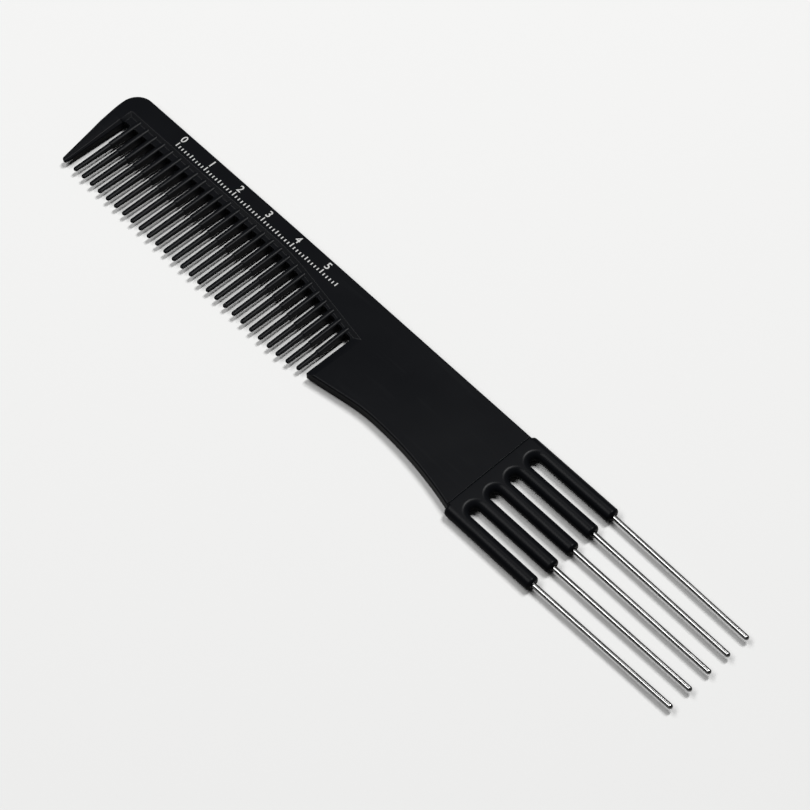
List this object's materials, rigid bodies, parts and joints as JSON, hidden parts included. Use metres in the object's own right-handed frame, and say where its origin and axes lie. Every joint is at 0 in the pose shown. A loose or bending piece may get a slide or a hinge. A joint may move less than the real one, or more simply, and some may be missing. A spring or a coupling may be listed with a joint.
{
  "type": "lift comb",
  "caption": "Slim styling comb: fine teeth on a thin web at one end, a waisted flat handle, and a pronged block with straight steel lifting pins at the other end.",
  "frame": {"origin": "middle of the comb's length, on the middle pin's axis, at the underside of the pin block", "axes": "+X along the comb toward the pins, +Y toward the spine, +Z out of the upper face; the comb lies flat"},
  "size_m": [0.1956, 0.027, 0.0035],
  "materials": {
    "comb_plastic": "matt black moulded plastic with a fine grain",
    "pin_steel": "bright drawn steel"
  },
  "bodies": {
    "root": {"comb_body": "comb_plastic", "lift_pin_1": "pin_steel", "lift_pin_2": "pin_steel", "lift_pin_3": "pin_steel", "lift_pin_4": "pin_steel", "lift_pin_5": "pin_steel"}
  },
  "joints": []
}
